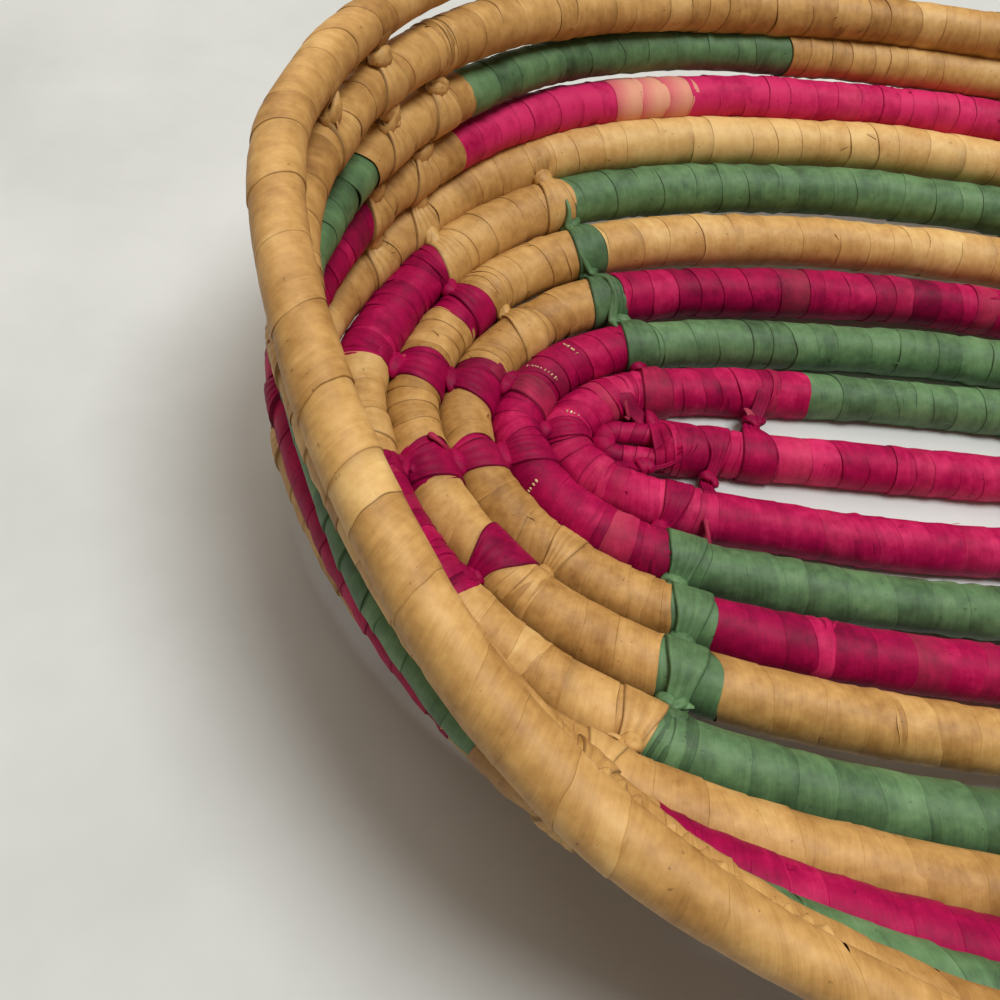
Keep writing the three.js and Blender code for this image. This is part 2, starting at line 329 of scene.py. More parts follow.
# The coil's path.
def row_places():
    """End reach, side reach, end height, side height and oval power of each row."""
    places = [[0, 0, 0, 0, FIRST_BEND_POWER], [*FIRST_STEP, 0, 0, BASE_OVAL_POWER]]
    for row in range(3, BASE_ROWS + 1):
        end, side = places[-1][:2]
        height = DISH_RISE * (row - 2) ** DISH_POWER
        places.append([end + BASE_PITCH[0], side + BASE_PITCH[1], height, height, BASE_OVAL_POWER])
    for wall in range(WALL_ROWS):
        end, side, end_height, side_height = places[-1][:4]
        end_pitch, side_pitch = END_PITCHES[wall], SIDE_PITCHES[wall]
        a, b = math.radians(END_SLOPES[wall]), math.radians(SIDE_SLOPES[wall])
        power = BASE_OVAL_POWER + (RIM_OVAL_POWER - BASE_OVAL_POWER) * (wall + 1) / WALL_ROWS
        places.append([end + end_pitch * math.cos(a), side + side_pitch * math.cos(b),
                       end_height + end_pitch * math.sin(a), side_height + side_pitch * math.sin(b), power])
    return np.array(places, float)


PLACES = row_places()


def row_at(turns):
    """Row number at places along the coil; it steps up in the second half of each turn."""
    whole = np.floor(turns)
    return np.minimum(whole + 1 + ease((turns - whole - 0.5) / 0.5), ROW_COUNT)


def on_wall(turns):
    return row_at(turns) > WALL_FROM


def on_rim(turns):
    return row_at(turns) > RIM_FROM


def centre(turns):
    """Places on the coil's middle line, in millimetres."""
    row = row_at(turns)
    low = np.clip(np.floor(row).astype(int), 1, ROW_COUNT - 1)
    share = (row - low)[..., None]
    place = PLACES[low - 1] * (1 - share) + PLACES[low] * share
    even = -TURN * (turns + 0.25)
    angle = even + STEP_EVENNESS * np.sin(2 * even)
    c, s = np.cos(angle), np.sin(angle)
    power = 2 / place[..., 4]
    along = np.sign(c) * np.abs(c) ** power
    across = np.sign(s) * np.abs(s) ** power
    x = place[..., 0] * along + ROD_HALF_LENGTH * np.tanh(END_SHARPNESS * along) / math.tanh(END_SHARPNESS)
    y = place[..., 1] * across
    z = BASE_LEVEL + place[..., 3] + (place[..., 2] - place[..., 3]) * np.abs(c) ** END_RISE_POWER
    return np.stack([x, y, z], -1)


def half_share(turns):
    """Share of a turn from the front middle, the same on the left and the right."""
    share = turns % 1
    return np.minimum(share, 1 - share)


def true_share(turns):
    """The same share, measured as an angle."""
    even = turns % 1
    share = even - STEP_EVENNESS / TURN * np.sin(2 * TURN * even)
    return np.minimum(share, 1 - share)


def true_turns(row, share):
    """Turns at a row and a share of the turn measured as an angle."""
    even = share
    for _ in range(8):
        even = share + STEP_EVENNESS / TURN * math.sin(2 * TURN * even)
    return row - 1 + even


def lean(turns):
    """How far the row stands outward of its even place."""
    first = min(LEAN)
    row = np.clip(row_at(turns), first, ROW_COUNT)
    table = np.array([np.interp(half_share(turns), LEAN_SHARES, LEAN[number]) for number in sorted(LEAN)])
    low = np.clip(np.floor(row).astype(int) - first, 0, len(table) - 2)
    part = row - first - low
    at = np.arange(len(row))
    return table[low, at] * (1 - part) + table[low + 1, at] * part


def radius(turns):
    """Outer radius of the wrap, in millimetres."""
    row = row_at(turns)
    base = WRAPPED_ROD + (COIL_DIAMETER - WRAPPED_ROD) * np.minimum((row - 1) / THICKENING_ROWS, 1)
    thin = np.maximum((row - BASE_ROWS) / WALL_ROWS, 0) ** THINNING_POWER
    full = (base + (RIM_DIAMETER - base) * thin) / 2
    at_end = ease(END_SWELL_REACH * np.abs(np.sin(TURN * turns)))
    full = full + END_SWELL * at_end * np.clip(row - 1.5, 0, 1) * np.clip(ROW_COUNT - row, 0, 1)
    at_back = ease((half_share(turns) - BACK_FROM) / BACK_EASE)
    rows = np.arange(1, ROW_COUNT + 1)
    full = full + at_back * np.interp(row, rows, [BACK_SWELL.get(number, 0) for number in rows])
    at_front = ease((FRONT_UP_TO - half_share(turns)) / FRONT_EASE) * np.clip(row - ROW_COUNT + 2, 0, 1)
    full = full - RIM_FRONT_THINNING * at_front
    taper = np.clip((turns - RIM_TAPER_START) / (RIM_TIP_TURN - RIM_TAPER_START), 0, 1)
    return full + (RIM_TIP_DIAMETER / 2 - full) * taper


class Coil:
    """The middle line with its length, and a frame that looks outward and up."""

    def __init__(self):
        self.turns = np.arange(START_TURN - 0.02, RIM_TIP_TURN + 0.01, PATH_STEP)
        points = centre(self.turns)
        ahead = unit(np.gradient(points[:, :2], axis=0))
        points[:, :2] += np.stack([-ahead[:, 1], ahead[:, 0]], -1) * lean(self.turns)[:, None]
        inside = slice(PATH_SOFTENING, -PATH_SOFTENING)
        points[inside] = softened(points, PATH_SOFTENING)[inside]
        drift = draws("path")
        for size, bends in WOBBLES:
            knots = self.even_knots(bends)
            shifts = drift.normal(0, size, (len(knots), 3)) * (1, 1, LEVEL_WOBBLE_SHARE)
            shifts[:, 2] = np.where(knots < 2, np.abs(shifts[:, 2]), shifts[:, 2])
            points = points + smooth_between(self.turns, knots, shifts)
        knots = self.even_knots(LUMPS_IN_ROW)
        self.lumps = smooth_between(self.turns, knots, drift.normal(0, LUMPS, len(knots)))
        self.points = points
        self.lengths = lengths_of(points)
        self.ahead = unit(np.gradient(points, self.lengths, axis=0))

    def even_knots(self, in_row):
        return np.linspace(self.turns[0], self.turns[-1], int(in_row * ROW_COUNT))

    def length_at(self, turns):
        return np.interp(turns, self.turns, self.lengths)

    def turns_at(self, length):
        return np.interp(length, self.lengths, self.turns)

    def full_radius(self, length):
        """Radius over the strips at lengths along the coil, with its lumps."""
        turns = self.turns_at(length)
        return radius(turns) + np.interp(turns, self.turns, self.lumps)

    def frame(self, length):
        """Middle, outward, upward and ahead at lengths along the coil."""
        middle = between(length, self.lengths, self.points)
        ahead = unit(between(length, self.lengths, self.ahead))
        outward = level_outward(ahead)
        return middle, outward, np.cross(ahead, outward), ahead

    def surface(self, length, angle, height):
        """Points at heights above the strips, at lengths along the coil and angles round it."""
        middle, outward, upward, _ = self.frame(length)
        return middle + (self.full_radius(length) + height)[..., None] * direction(angle, outward, upward)

    def facing(self, length, way):
        """Angle round the coil that looks along a direction."""
        _, outward, upward, _ = self.frame(length)
        return math.atan2(way.dot(upward), way.dot(outward))


coil = Coil()
FIRST_LENGTH = coil.length_at(START_TURN) + 0.5


# Meshes: grids of points, each with its shade, tone and dark edge, and its place on the leaf. The dark edge
# is mostly painted shade, in seams, folds and grooves.
def grid_faces(rows, columns, start, closed):
    """Quads of a grid of points; closed joins the last column to the first."""
    a = np.arange(rows - 1)[:, None] * columns
    b = np.arange(columns if closed else columns - 1)[None, :]
    c = (b + 1) % columns
    return np.stack([a + b, a + c, a + columns + c, a + columns + b], -1).reshape(-1, 4) + start


def add_object(name, data):
    made = bpy.data.objects.new(name, data)
    bpy.context.scene.collection.objects.link(made)
    return made


class Sheet:
    """Grids of points with their looks, made into one mesh."""

    def __init__(self):
        self.points, self.faces, self.looks = [], [], []
        self.count = 0

    def add(self, points, shade, tone, edge, grain, closed):
        """Adds a grid; grain is a place on the leaf, across and along it, and its own number."""
        rows, columns = points.shape[:2]
        looks = [np.broadcast_to(value, (rows, columns)) for value in (shade, tone, edge, 1, *grain)]
        self.faces.append(grid_faces(rows, columns, self.count, closed))
        self.points.append(points.reshape(-1, 3))
        self.looks.append(np.stack(looks, -1).reshape(-1, 7))
        self.count += rows * columns

    def make(self, name, slot, *nodes, material=None):
        points = np.concatenate(self.points) * MM
        points[:, 2] = np.maximum(points[:, 2], ABOVE_TABLE)
        faces = np.concatenate(self.faces)
        looks = np.concatenate(self.looks)
        mesh = bpy.data.meshes.new(name)
        mesh.vertices.add(len(points))
        mesh.vertices.foreach_set("co", points.ravel())
        mesh.loops.add(faces.size)
        mesh.loops.foreach_set("vertex_index", faces.ravel())
        mesh.polygons.add(len(faces))
        mesh.polygons.foreach_set("loop_start", np.arange(0, faces.size, 4))
        mesh.polygons.foreach_set("use_smooth", np.ones(len(faces), bool))
        mesh.update(calc_edges=True)
        mesh.attributes.new("strip", "FLOAT_COLOR", "POINT").data.foreach_set("color", looks[:, :4].ravel())
        mesh.attributes.new("grain", "FLOAT_VECTOR", "POINT").data.foreach_set("vector", looks[:, 4:].ravel())
        mesh.materials.append(material or LEAF[slot])
        piece = add_object(name, mesh)
        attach(piece, "root")
        if nodes:
            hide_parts(*nodes)


# Materials: leaf strip in three colours, fibre core and table.
def fill(tree, made, values):
    """Sets the inputs of a node, or links them where the value is a socket."""
    for key, value in values.items():
        if isinstance(value, bpy.types.NodeSocket):
            tree.links.new(value, made.inputs[key])
        else:
            made.inputs[key].default_value = value


def node(tree, kind, values, **settings):
    made = tree.nodes.new(kind)
    for key, value in settings.items():
        setattr(made, key, value)
    fill(tree, made, values)
    return made


def srgb(r, g, b):
    def one(v):
        v /= 255
        return v / 12.92 if v <= 0.04045 else ((v + 0.055) / 1.055) ** 2.4

    return (one(r), one(g), one(b), 1)


def ramp(tree, share, stops):
    """A colour by stops as (place, red, green, blue)."""
    made = node(tree, "ShaderNodeValToRGB", {"Fac": share})
    elements = made.color_ramp.elements
    while len(elements) < len(stops):
        elements.new(0.5)
    for element, (place, *colour) in zip(elements, stops):
        element.position = place
        element.color = srgb(*colour)
    return made.outputs["Color"]


def weighed(tree, total, *parts):
    """A number plus values of the node tree by weight."""
    for value, weight in parts:
        values = {0: value, 1: weight, 2: total}
        total = node(tree, "ShaderNodeMath", values, operation="MULTIPLY_ADD").outputs[0]
    return total


def mixed(tree, share, under, over):
    """One colour over another by a share."""
    return node(tree, "ShaderNodeMix", {0: share, 6: under, 7: srgb(*over)}, data_type="RGBA").outputs[2]


def noise(tree, place, scale, detail, roughness=0.6):
    values = {"Vector": place, "Scale": scale, "Detail": detail, "Roughness": roughness}
    return node(tree, "ShaderNodeTexNoise", values).outputs["Fac"]


def attribute(tree, name, output):
    return node(tree, "ShaderNodeAttribute", {}, attribute_name=name).outputs[output]


def grain_noise(tree, stretch, detail, roughness):
    """Noise that runs with the leaf."""
    values = {"Vector": attribute(tree, "grain", "Vector"), "Scale": stretch}
    return noise(tree, node(tree, "ShaderNodeMapping", values).outputs["Vector"], 1, detail, roughness)


def place_in(tree):
    return node(tree, "ShaderNodeTexCoord", {}).outputs["Object"]


def bump(tree, height, strength, distance):
    values = {"Height": height, "Strength": strength, "Distance": distance}
    return node(tree, "ShaderNodeBump", values).outputs["Normal"]


def finish_material(name, paint):
    """A material whose shader takes what paint makes of its node tree."""
    material = bpy.data.materials.new(name)
    material.use_nodes = True
    tree = material.node_tree
    fill(tree, tree.nodes["Principled BSDF"], paint(tree))
    return material


# Looks of leaf: colours from dark to pale, tint of faded strips, colour of specks and of the painted shade at
# dark edges, and gloss.
LEAF_STOPS = (0.0, 0.3, 0.6, 1.0)
LEAF_LEVEL = -0.8625
SPECK_STOPS = [(0.0, 0, 0, 0), (0.7, 0, 0, 0), (0.76, 255, 255, 255)]
LEAF_LOOKS = {
    "natural": (((122, 80, 34), (168, 124, 64), (200, 156, 90), (228, 192, 124)),
                (196, 146, 104), (62, 34, 10), 0.4),
    "magenta": (((84, 0, 34), (130, 0, 56), (167, 8, 72), (212, 46, 102)),
                (236, 174, 142), (52, 0, 18), 0.14),
    "green": (((40, 60, 38), (68, 98, 64), (94, 130, 86), (126, 160, 114)),
              (110, 132, 88), (16, 26, 14), 0.32),
}


def leaf_material(name, colours, tint, spot, gloss):
    """Leaf strip, with lengthwise grain, blotches, specks and dark edges, which are painted shade in seams
    and creases.
    """
    def paint(tree):
        parts = node(tree, "ShaderNodeSeparateColor", {"Color": attribute(tree, "strip", "Color")})
        shade, tone, edge = parts.outputs
        place = place_in(tree)
        fine = grain_noise(tree, (0.12, 3.2, 1), 5, 0.65)
        veins = grain_noise(tree, (0.04, 1.1, 1), 2, 0.5)
        small = noise(tree, place, 420, 4)
        blotches = ((noise(tree, place, 55, 3), 0.5), (noise(tree, place, 150, 3), 0.75), (small, 0.5))
        level = weighed(tree, LEAF_LEVEL, (shade, 0.5), (fine, 0.275), (veins, 0.2), *blotches)
        colour = ramp(tree, level, [(stop, *colour) for stop, colour in zip(LEAF_STOPS, colours)])
        tinted = mixed(tree, weighed(tree, 0, (tone, 0.55)), colour, tint)
        specks = ramp(tree, noise(tree, place, 700, 2), SPECK_STOPS)
        spotted = mixed(tree, weighed(tree, 0, (specks, 0.5)), tinted, spot)
        height = weighed(tree, 0, (fine, 0.6), (small, 0.5), (veins, 0.6))
        # Painted shade: the dark edge layer mixes the spot colour into seams, folds and grooves.
        return {"Base Color": mixed(tree, weighed(tree, 0, (edge, 0.85)), spotted, spot),
                "Roughness": weighed(tree, 0.42, (fine, 0.25)), "Specular IOR Level": gloss,
                "Normal": bump(tree, height, 0.35, 0.0003)}

    return finish_material(name, paint)


LEAF = {colour: leaf_material("leaf_" + colour, *looks) for colour, looks in LEAF_LOOKS.items()}


def core_material(name, darkest):
    def paint(tree):
        fibres = grain_noise(tree, (2.2, 0.8, 1), 4, 0.6)
        colour = ramp(tree, fibres, [(darkest, 96, 62, 38), (0.5, 212, 184, 140), (0.7, 244, 226, 196)])
        return {"Base Color": colour, "Roughness": 0.75, "Normal": bump(tree, fibres, 0.6, 0.0004)}

    return finish_material(name, paint)


def table_material():
    def paint(tree):
        colour = ramp(tree, noise(tree, place_in(tree), 9, 5), [(0.35, 196, 200, 196), (0.65, 210, 214, 211)])
        return {"Base Color": colour, "Roughness": 0.6, "Specular IOR Level": 0.25}

    return finish_material("table_top", paint)


# Where ties stand, and how they draw the strips beside them together.
def opposite(share):
    """The same place on the right half, before the front middle in the first quarter."""
    return (0 if share < 0.25 else 1) - share


def all_ties():
    """(outer turns, inner turns, colour, width, kept) of every tie, on both halves."""
    made = []
    for row, ties in TIES.items():
        for share, *looks in ties:
            inner = 0.5 - share if row == 2 and share < 0.25 else share
            made.append((true_turns(row, share), true_turns(row - 1, inner), *looks))
            made.append((true_turns(row, opposite(share)), true_turns(row - 1, opposite(inner)), *looks))
    return sorted(tie for tie in made if tie[1] > START_TURN + 0.01 and tie[0] < RIM_TAPER_START)


def tie_places(outer, inner):
    """Lengths, directions, crossing and neck height of a tie between two rows."""
    lengths = [coil.length_at(value) for value in (inner, outer)]
    (start, _, _, inner_ahead), (end, _, _, outer_ahead) = (coil.frame(value) for value in lengths)
    radii = [coil.full_radius(value) for value in lengths]
    span = np.linalg.norm(end - start)
    across = (end - start) / span
    ahead = outer_ahead + np.sign(inner_ahead.dot(outer_ahead)) * inner_ahead
    ahead = unit(ahead - across * ahead.dot(across))
    crossing = start + across * (radii[0] + (span - sum(radii)) / 2)
    high = np.linspace(2.0 if on_wall(outer) else 0.7, 0.85 * min(radii), 60)
    room = span - np.sqrt(radii[0] ** 2 - high ** 2) - np.sqrt(radii[1] ** 2 - high ** 2)
    neck = high[np.argmax(room > NECK_GAP)] if room[-1] > NECK_GAP else high[-1]
    return lengths, across, ahead, np.cross(ahead, across), crossing, neck


def tie_anchors():
    """(length, angle round the coil, strength) of every place where a tie pulls on the strips."""
    found = []
    for outer, inner, *_ in all_ties():
        lengths, across, *_ = tie_places(outer, inner)
        strengths = (DRAW_SHARE, RIM_DRAW_SHARE if outer > RIM_TIES_FROM else DRAW_SHARE)
        for length, sign, strength in zip(lengths, (1, -1), strengths):
            found.append((length, coil.facing(length, sign * across), strength))
    return sorted(found)


ANCHORS = tie_anchors()


def drawn_to_ties(length, angle):
    """How far points on the coil are drawn along it by the ties nearby."""
    moved = np.zeros(np.broadcast(length, angle).shape)
    low, high = np.min(length) - DRAW_REACH * 2, np.max(length) + DRAW_REACH * 2
    for place, side, strength in ANCHORS:
        if low <= place <= high:
            away = length - place
            near = np.exp(-((away / DRAW_REACH) ** 2)) * np.clip(np.cos(angle - side), 0, 1) ** 2
            moved -= strength * away * near
    return moved


# Strips: each turn of leaf is its own ring, lying over the next one like a shingle.
def add_strip(sheet, begin, end, random, lift, paleness_and_painted_light, calm, faded):
    """One turn of leaf between two lengths; its grid runs from the free edge to the tucked one."""
    angle = round_angles(AROUND)
    width = end - begin
    ends = column(0, 0, min(0.22, 0.2 * width), 0.35 * width, 0.7 * width, width + STRIP_TUCK)
    loose = random.uniform(0, 1) ** 2.5
    tilt = random.normal(STRIP_TILT, 0.5) * min(width / 5, 1.2)
    wave = sum(random.normal(0, size) * np.sin(count * angle + random.uniform(0, TURN))
               for count, size in STRIP_WAVES)
    side = -tilt * np.cos(angle) + wave * min(width / 5, 1)
    lip = np.clip(one_side(angle, random), 0, 1) ** 4 * max(random.normal(-0.08, 0.2), 0) * calm
    crown = STRIP_THICKNESS * (0.12 + 1.4 * loose) * column(-0.4, 1.0, 1.1, 0.9, 0.6, -0.7)
    opened = lip * column(0.2, 1.0, 0.8, 0.25, 0.0, 0)
    crease = random.normal(0, 0.15, 3) * calm
    folds = sum(size * np.sin(count * ends / max(width, 3) + 2 * angle + phase)
                for size, count, phase in zip(crease, (5, 8, 12), random.uniform(0, TURN, 3)))
    folds = folds * column(0, 0.2, 0.5, 1, 1, 0)
    length = begin + ends + side
    length = np.maximum(length + drawn_to_ties(length, angle), FIRST_LENGTH)
    belly = 0.07 * np.sin(2 * angle + length / 9) + 0.05 * np.sin(3 * angle - length / 6)
    points = coil.surface(length, angle, crown + opened + belly + 0.6 * folds + lift)
    grain = (angle * ARC_RADIUS, ends + wave, own_grain(random))
    # Painted shade along the seam, deeper on loose strips, and on some strips a painted shadow arc under a
    # lifted edge.
    dark = 0.05 + 0.22 * loose + 0.1 * np.clip(one_side(angle, random), 0, 1)
    arc = np.clip(1.8 * one_side(angle, random) - 0.5, 0, 1)
    if random.uniform() < SEAM_SHADOW_SHARE * calm:
        dark = dark + random.uniform(0.4, 0.95) * arc
    edge = column(1.0, 0.8, 0.0, 0.0, 0.0, 0.5) * dark
    # Paleness: random per strip, plus the row's, which is partly painted light.
    shade = np.clip(paleness_and_painted_light + random.normal(0, 0.17) + FADED_SHADE * faded, 0, 1.6)
    tone = random.uniform(1.0, 1.6) if faded else max(random.normal(-0.3, 0.4), 0) * 0.18
    tone = tone * column(0.4, 0.5, 0.5, 0.8, 1, 1) * (1 - 0.3 * np.sin(angle + ends / 3))
    sheet.add(points, shade, tone, edge, grain, True)
    if random.uniform() < FRAY_SHARE * calm:
        add_fray(sheet, begin, random, lift, shade)


def add_fray(sheet, place, random, lift, shade):
    """A torn bit of leaf that stands off a seam."""
    long, wide = sizes_between(FRAY_SIZES, random)
    step = even_rows(0, 1, 5)
    along = (step * 1.3 - 1) * long
    reach = np.linspace(-1, 1, 3) * wide / 2 * (0.1 + 0.9 * step)
    angle = random.uniform(0, TURN) + (reach + random.normal(0, 0.7) * along) / ARC_RADIUS
    height = lift + 0.12 + (1 - step) ** 2 * random.uniform(0.1, 0.7)
    points = coil.surface(np.broadcast_to(place + along, angle.shape), angle, height)
    grain = (angle * ARC_RADIUS, along, own_grain(random))
    sheet.add(points, min(shade + 0.15, 1), 0, 0.25 * (1 - step), grain, False)


def add_tube(sheet, first, last, step, around, height, grain_radius, shade, edge):
    """An even tube along the coil, under the strips."""
    rings = max(int((last - first) / step), 3)
    length = np.broadcast_to(even_rows(first, last, rings), (rings, around))
    angle = round_angles(around)
    sheet.add(coil.surface(length, angle, height), shade, 0, edge, (angle * grain_radius, length, 0), True)


def strip_cuts(first, last, pitch, random):
    """Lengths where strips begin: uneven, and close together beside a tie."""
    cuts = [first]
    while True:
        near = min(abs(cuts[-1] + 1 - place) for place, _, strength in ANCHORS if strength == DRAW_SHARE)
        step = random.uniform(*TIGHT_STEPS) if near < BUNCH_REACH else pitch * random.uniform(*PITCH_SHARES)
        if cuts[-1] + step > last - 0.45 * step:
            return cuts + [last]
        cuts.append(cuts[-1] + step)


def wind(sheet, begin, end, random, colour, lift=0.0):
    """Strips side by side over a stretch of the coil, with a layer of leaf under them that is darkened as
    painted shade in the gaps between strips.
    """
    first, last = coil.length_at(begin), coil.length_at(end)
    middle = (begin + end) / 2
    row = row_at(middle)
    rim = on_rim(middle)
    pitch = RIM_STRIP_PITCH if rim else STRIP_PITCH[colour]
    if row < BASE_ROWS + 0.6 and TIP_SHARES[0] < half_share(middle) < TIP_SHARES[1]:
        pitch = pitch * TIP_PITCH_SHARE
    # The row's paleness, partly painted light: paler at the back, darker on the inner front rows.
    paleness_and_painted_light = row_paleness_and_painted_light(middle, colour)
    # The layer under the strips is painted dark: painted shade where it shows between them.
    add_tube(sheet, first, last, 2, AROUND, lift - UNDER_DEPTH, ARC_RADIUS, 0.2, 0.45)
    cuts = strip_cuts(first, last, pitch, random)
    for a, b in pairwise(cuts):
        place = true_share(coil.turns_at((a + b) / 2))
        faded = any(low < place < high for low, high in FADED.get(round(row), ()))
        add_strip(sheet, a, b, random, lift, paleness_and_painted_light, 0.3 if rim else 1.0, faded)


def row_paleness_and_painted_light(turns, colour):
    """How pale the strips are, partly their own tone and partly painted light: palest at the back of row 7
    and of row 8's magenta, paler at the back of the base, darkest on rows 1 to 4 away from the back.
    """
    row = row_at(turns)
    if colour == "green":
        return 0.45
    if colour == "magenta":
        if row < 2.3:
            return 0.8
        return 1.45 if 7.2 < row < 8.8 and 0.3 < turns % 1 < 0.7 else 0.42
    share = true_share(turns)
    if on_rim(turns):
        return 0.52
    if on_wall(turns):
        return 1.1 if share > 0.36 and row < 7.6 else 0.45
    if share > 0.4:
        return 0.9
    if row < 4.5:
        return 0.3
    return 0.4 if share > 0.24 else 0.5


# Wraps: the stretches of one colour in each of the frame's wraps.
def mirrored(table):
    """A row's stretches on its right half: (begin, end, colour)."""
    bounds = [begin for begin, _ in table] + [0.5]
    return [(1 - bounds[i + 1], 1 - bounds[i], table[i][1]) for i in reversed(range(len(table)))]


def colour_changes():
    """(turns, colour from there on) for the coil; past the front seam a row has the next row's colours."""
    changes = []
    for row, table in COLOURS.items():
        right = [(begin, colour) for begin, _, colour in mirrored(table) if begin < FRONT_SEAM]
        following = mirrored(COLOURS[min(row + 1, ROW_COUNT)])
        last = [(max(begin, FRONT_SEAM), colour) for begin, end, colour in following if end > FRONT_SEAM]
        changes += [(true_turns(row, share), colour) for share, colour in table + right + last]
    kept = []
    for turns, colour in sorted(changes, key=lambda change: change[0]):
        if kept and abs(kept[-1][0] - turns) < 1e-6:
            kept.pop()
        if not kept or kept[-1][1] != colour:
            kept.append((turns, colour))
    return kept


def frame_wraps():
    """The solids' wraps as (begin, end, node name)."""
    marks = [(START_TURN, "row_01_start")]
    for whole in range(ROW_COUNT):
        for place, share in TIE_PLACES.items():
            if TIE_PLACES["right"] - 1e-6 <= whole + share <= ROW_COUNT - 1 + TIE_PLACES["back"] + 1e-6:
                marks.append((whole + share, f"row_{whole + (2 if place == 'front' else 1):02d}_{place}"))
    ends = [turns for turns, _ in marks[1:]] + [RIM_WRAP_END]
    return [(begin, end, name) for (begin, name), end in zip(marks, ends)]


def build_wraps():
    changes = colour_changes()
    for begin, end, name in frame_wraps():
        cuts = [begin] + [turns for turns, _ in changes if begin + 1e-4 < turns < end - 1e-4] + [end]
        for index, (a, b) in enumerate(pairwise(cuts)):
            colour = [shown for turns, shown in changes if turns <= (a + b) / 2][-1]
            sheet = Sheet()
            wind(sheet, a, b, np.random.default_rng(int(a * 10000)), colour, COLOUR_LIFT[colour])
            sheet.make(f"{name}_{colour}_{index + 1}", colour, name + "_wrap")


# Ties: a strip passes round both rows in a figure of eight, and a turn of it binds the neck.
def add_tie(sheet, outer, inner, width, kept, shade, random):
    """A band round the inner row and a fan on the outer row, both pleated towards the neck."""
    lengths, across, ahead, upward, crossing, neck = tie_places(outer, inner)
    share = np.concatenate([[-1.0], np.linspace(-1, 1, ACROSS_TIE), [1.0]])
    hem = np.zeros(len(share))
    hem[[0, -1]] = -HEM_DROP
    tone = max(random.normal(-0.3, 0.35), 0) * 0.15
    for length, sign in zip(lengths, (1, -1)):
        along = np.sign(coil.frame(length)[3].dot(ahead))
        toward = coil.facing(length, sign * across)
        full = coil.full_radius(length) + TIE_LIFT
        opening = max(math.asin(min((neck + 0.4) / full, 0.9)), 0.3)
        spans, count = [(opening, TURN - opening)], ROUND_TIE
        if sign < 0:
            spans = [(opening, opening + FAN_TURN), (TURN - opening - FAN_TURN, TURN - opening)]
            count = ROUND_FAN
        for first, last in spans:
            angle = even_rows(first, last, count)
            arc = np.minimum(np.abs(angle - opening), np.abs(TURN - opening - angle))
            near = np.exp(-((arc / NECK_REACH) ** 2))
            above = np.where(angle < math.pi, 1, -1)[..., None] * upward
            skew = np.sin(angle / 2) * random.normal(0, 0.8) * (1 - near)
            offset = share * width / 2 * (1 - (1 - kept) * near) + skew
            pleat = np.abs(np.sin(share * random.uniform(4.0, 6.5) + random.uniform(0, TURN)))
            pleat = pleat * (0.05 + 0.38 * near) * (1 if sign > 0 else np.clip(1 - 3 * arc, 0.15, 1))
            rise = pleat + hem - 0.12 * np.abs(share) ** 3
            if sign < 0:
                offset = offset * (1 - 0.85 * (arc / FAN_TURN) ** 2)
                rise = rise - 0.25 - 1.5 * (arc / FAN_TURN) ** 5
            spot = np.maximum(length + along * offset, FIRST_LENGTH)
            grid = coil.surface(spot, toward + sign * along * angle, TIE_LIFT + rise)
            meeting = crossing + above * neck + offset[..., None] * ahead + rise[..., None] * above
            grid = grid + (meeting - grid) * np.exp(-((arc / 0.3) ** 2))[..., None]
            # Painted shade at the hems and in the pleat valleys near the neck.
            edge = np.where(np.abs(share) > 0.999, 0.5, 0) + near * np.clip(0.45 - pleat * 2.4, 0, 1)
            pick = slice(None, None, -1) if sign > 0 else slice(None)
            grain = (arc * ARC_RADIUS, share[pick] * width / 2, own_grain(random))
            sheet.add(grid[:, pick], shade, tone, edge[:, pick], grain, False)


def add_neck_band(sheet, outer, inner, width, kept, shade, random):
    """The turn of strip that binds the neck, in folds inside and outside."""
    _, across, ahead, upward, crossing, neck = tie_places(outer, inner)
    angle = round_angles(ROUND_NECK)
    place = column(-0.95, -1, -0.8, -0.3, 0.3, 0.8, 1, 0.95)
    cap = column(0.1, 0.72, 0.92, 1, 1, 0.92, 0.72, 0.1)
    wide_share, tall_share = WALL_BAND_SHARES if on_wall(outer) else (1, 1)
    for side_of in (1, 1, -1):
        reach = width / 2 * kept * random.uniform(0.75, 1.05) + 0.6
        wide = random.uniform(*BAND_WIDTHS) * wide_share
        tall = BAND_TALL * random.uniform(0.9, 1.3) * tall_share
        pinch = 1 - 0.35 * np.abs(np.cos(angle)) ** 3
        side = place * wide / 2 * pinch + random.normal(0, 0.8) * np.cos(angle)
        side = side + random.normal(0, 0.3) * np.sin(2 * angle) + random.normal(0, 0.4)
        fold = 0.16 * np.abs(np.sin(3.1 * place + 2 * angle + random.uniform(0, TURN)))
        along = (reach + fold) * cap * np.cos(angle)
        high = (tall + fold) * cap * np.sin(angle)
        middle = crossing + ahead * random.normal(0, 0.5) + upward * side_of * (neck + random.uniform(0, 0.5))
        grid = middle + side[..., None] * across + along[..., None] * ahead + high[..., None] * upward
        # Painted shade at the band's tucked edges and between its folds.
        edge = column(0.6, 0.1, 0, 0, 0, 0, 0.1, 0.6) + np.clip(0.35 - fold * 5, 0, 1)
        grain = (angle[::-1] * 2, place * wide / 2, own_grain(random))
        sheet.add(grid[:, ::-1], shade + random.uniform(-0.1, 0.1), 0, edge, grain, True)


